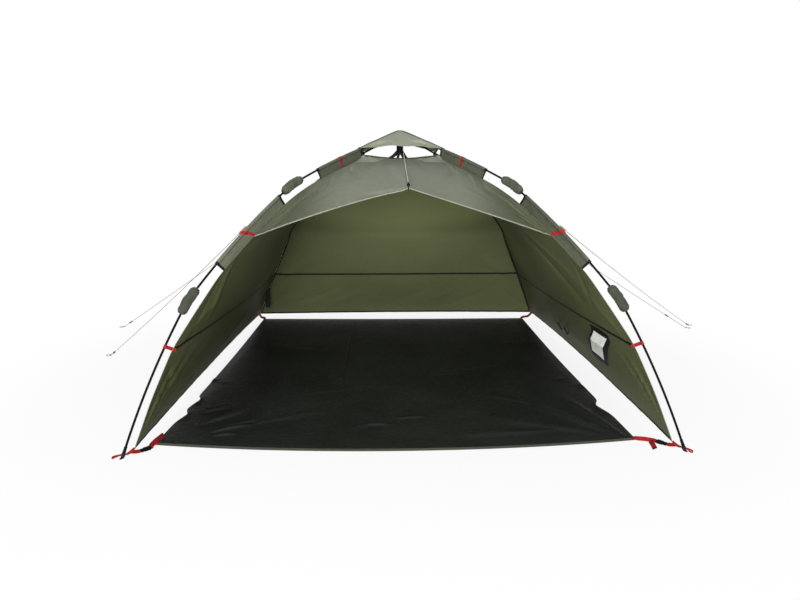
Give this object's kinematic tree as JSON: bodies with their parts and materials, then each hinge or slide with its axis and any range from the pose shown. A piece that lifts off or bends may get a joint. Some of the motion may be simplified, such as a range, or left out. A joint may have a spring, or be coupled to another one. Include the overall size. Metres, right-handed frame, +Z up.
{
  "type": "pop-up fishing tent",
  "caption": "Open-fronted pop-up fishing tent: jointed pole legs fold on a central hub, with a canopy hung inside, a groundsheet, buckled corners and guy lines.",
  "frame": {"origin": "centre of the tent on the ground, bottom centre of the part without its guy lines", "axes": "+Z up, -Y towards the open front, +X to the right seen from the front"},
  "size_m": [4.371, 2.3686, 1.364],
  "materials": {
    "black_plastic": "moulded, slightly rough",
    "fibreglass": "smooth black rod",
    "steel": "plain wire",
    "olive_fabric": "coated woven polyester",
    "grey_fabric": "coated woven polyester, sunlit side",
    "channel_fabric": "sewn double layer",
    "pad_fabric": "padded sleeve",
    "groundsheet": "coated, crinkled",
    "red_webbing": "woven webbing",
    "black_webbing": "woven webbing",
    "pale_cord": "braided cord",
    "guy_cord": "braided cord",
    "window": "creased clear film"
  },
  "bodies": {
    "root": {"hub_body": "black_plastic", "hub_ring": "steel", "vent_straps": "black_webbing", "cap_cover": "grey_fabric", "front_awning": "grey_fabric", "left_wall": "olive_fabric", "right_wall": "olive_fabric", "rear_wall": "olive_fabric", "side_window": "window", "awning_cord": "pale_cord", "cord_hook": "black_plastic", "groundsheet": "groundsheet", "buckle_socket_fl": "black_plastic", "buckle_socket_fr": "black_plastic", "buckle_socket_rl": "black_plastic", "buckle_socket_rr": "black_plastic"},
    "top_fl": {"top_pole_fl": "fibreglass", "top_channel_fl": "channel_fabric"},
    "mid_fl": {"mid_pole_fl": "fibreglass", "mid_channel_fl": "channel_fabric", "upper_pad_fl": "pad_fabric", "lower_pad_fl": "pad_fabric", "guy_line_fl": "guy_cord", "guy_slider_fl": "black_plastic"},
    "low_fl": {"low_pole_fl": "fibreglass", "foot_strap_fl": "red_webbing"},
    "plug_fl": {"buckle_plug_fl": "black_plastic"},
    "top_fr": {"top_pole_fr": "fibreglass", "top_channel_fr": "channel_fabric"},
    "mid_fr": {"mid_pole_fr": "fibreglass", "mid_channel_fr": "channel_fabric", "upper_pad_fr": "pad_fabric", "lower_pad_fr": "pad_fabric", "guy_line_fr": "guy_cord", "guy_slider_fr": "black_plastic"},
    "low_fr": {"low_pole_fr": "fibreglass", "foot_strap_fr": "red_webbing"},
    "plug_fr": {"buckle_plug_fr": "black_plastic"},
    "top_rl": {"top_pole_rl": "fibreglass", "top_channel_rl": "channel_fabric"},
    "mid_rl": {"mid_pole_rl": "fibreglass", "mid_channel_rl": "channel_fabric", "upper_pad_rl": "pad_fabric", "lower_pad_rl": "pad_fabric", "guy_line_rl": "guy_cord", "guy_slider_rl": "black_plastic"},
    "low_rl": {"low_pole_rl": "fibreglass", "foot_strap_rl": "red_webbing"},
    "plug_rl": {"buckle_plug_rl": "black_plastic"},
    "top_rr": {"top_pole_rr": "fibreglass", "top_channel_rr": "channel_fabric"},
    "mid_rr": {"mid_pole_rr": "fibreglass", "mid_channel_rr": "channel_fabric", "upper_pad_rr": "pad_fabric", "lower_pad_rr": "pad_fabric", "guy_line_rr": "guy_cord", "guy_slider_rr": "black_plastic"},
    "low_rr": {"low_pole_rr": "fibreglass", "foot_strap_rr": "red_webbing"},
    "plug_rr": {"buckle_plug_rr": "black_plastic"}
  },
  "joints": [
    {"name": "hub_hinge_fl", "type": "hinge", "parent": "root", "child": "top_fl", "pos_m": [-0.03182, -0.03182, 1.325], "axis": [0.7071, -0.7071, 0], "range_deg": [0, 60], "deforming": ["front_awning", "left_wall", "right_wall", "rear_wall", "side_window", "cap_cover", "vent_straps", "awning_cord", "cord_hook", "top_channel_fl"]},
    {"name": "upper_knuckle_fl", "type": "hinge", "parent": "top_fl", "child": "mid_fl", "pos_m": [-0.52999, -0.52999, 1.07978], "axis": [-0.7071, 0.7071, 0], "range_deg": [0, 184.5], "deforming": ["upper_pad_fl", "mid_channel_fl", "guy_line_fl", "guy_slider_fl"]},
    {"name": "lower_knuckle_fl", "type": "hinge", "parent": "mid_fl", "child": "low_fl", "pos_m": [-0.91361, -0.91361, 0.5933], "axis": [0.7071, -0.7071, 0], "range_deg": [0, 147], "deforming": ["lower_pad_fl", "foot_strap_fl"]},
    {"name": "buckle_fl", "type": "slide", "parent": "root", "child": "plug_fl", "axis": [-0.7071, -0.7071, 0], "range_m": [0, 0.03], "deforming": ["left_wall", "right_wall"]},
    {"name": "hub_hinge_fr", "type": "hinge", "parent": "root", "child": "top_fr", "pos_m": [0.03182, -0.03182, 1.325], "axis": [0.7071, 0.7071, 0], "range_deg": [0, 60], "deforming": ["top_channel_fr"]},
    {"name": "upper_knuckle_fr", "type": "hinge", "parent": "top_fr", "child": "mid_fr", "pos_m": [0.52999, -0.52999, 1.07978], "axis": [-0.7071, -0.7071, 0], "range_deg": [0, 184.5], "deforming": ["upper_pad_fr", "mid_channel_fr", "guy_line_fr", "guy_slider_fr"]},
    {"name": "lower_knuckle_fr", "type": "hinge", "parent": "mid_fr", "child": "low_fr", "pos_m": [0.91361, -0.91361, 0.5933], "axis": [0.7071, 0.7071, 0], "range_deg": [0, 147], "deforming": ["lower_pad_fr", "foot_strap_fr"]},
    {"name": "buckle_fr", "type": "slide", "parent": "root", "child": "plug_fr", "axis": [0.7071, -0.7071, 0], "range_m": [0, 0.03], "deforming": ["left_wall", "right_wall"]},
    {"name": "hub_hinge_rl", "type": "hinge", "parent": "root", "child": "top_rl", "pos_m": [-0.03182, 0.03182, 1.325], "axis": [-0.7071, -0.7071, 0], "range_deg": [0, 60], "deforming": ["top_channel_rl"]},
    {"name": "upper_knuckle_rl", "type": "hinge", "parent": "top_rl", "child": "mid_rl", "pos_m": [-0.52999, 0.52999, 1.07978], "axis": [0.7071, 0.7071, 0], "range_deg": [0, 184.5], "deforming": ["upper_pad_rl", "mid_channel_rl", "guy_line_rl", "guy_slider_rl"]},
    {"name": "lower_knuckle_rl", "type": "hinge", "parent": "mid_rl", "child": "low_rl", "pos_m": [-0.91361, 0.91361, 0.5933], "axis": [-0.7071, -0.7071, 0], "range_deg": [0, 147], "deforming": ["lower_pad_rl", "foot_strap_rl"]},
    {"name": "buckle_rl", "type": "slide", "parent": "root", "child": "plug_rl", "axis": [-0.7071, 0.7071, 0], "range_m": [0, 0.03], "deforming": ["left_wall", "right_wall"]},
    {"name": "hub_hinge_rr", "type": "hinge", "parent": "root", "child": "top_rr", "pos_m": [0.03182, 0.03182, 1.325], "axis": [-0.7071, 0.7071, 0], "range_deg": [0, 60], "deforming": ["top_channel_rr"]},
    {"name": "upper_knuckle_rr", "type": "hinge", "parent": "top_rr", "child": "mid_rr", "pos_m": [0.52999, 0.52999, 1.07978], "axis": [0.7071, -0.7071, 0], "range_deg": [0, 184.5], "deforming": ["upper_pad_rr", "mid_channel_rr", "guy_line_rr", "guy_slider_rr"]},
    {"name": "lower_knuckle_rr", "type": "hinge", "parent": "mid_rr", "child": "low_rr", "pos_m": [0.91361, 0.91361, 0.5933], "axis": [-0.7071, 0.7071, 0], "range_deg": [0, 147], "deforming": ["lower_pad_rr", "foot_strap_rr"]},
    {"name": "buckle_rr", "type": "slide", "parent": "root", "child": "plug_rr", "axis": [0.7071, 0.7071, 0], "range_m": [0, 0.03], "deforming": ["left_wall", "right_wall"]}
  ],
  "couplings": [
    {"joint": "upper_knuckle_fl", "follows": "hub_hinge_fl", "ratio": 3.075},
    {"joint": "lower_knuckle_fl", "follows": "hub_hinge_fl", "ratio": 2.45},
    {"joint": "hub_hinge_fr", "follows": "hub_hinge_fl", "ratio": 1},
    {"joint": "upper_knuckle_fr", "follows": "hub_hinge_fl", "ratio": 3.075},
    {"joint": "lower_knuckle_fr", "follows": "hub_hinge_fl", "ratio": 2.45},
    {"joint": "hub_hinge_rl", "follows": "hub_hinge_fl", "ratio": 1},
    {"joint": "upper_knuckle_rl", "follows": "hub_hinge_fl", "ratio": 3.075},
    {"joint": "lower_knuckle_rl", "follows": "hub_hinge_fl", "ratio": 2.45},
    {"joint": "hub_hinge_rr", "follows": "hub_hinge_fl", "ratio": 1},
    {"joint": "upper_knuckle_rr", "follows": "hub_hinge_fl", "ratio": 3.075},
    {"joint": "lower_knuckle_rr", "follows": "hub_hinge_fl", "ratio": 2.45}
  ]
}
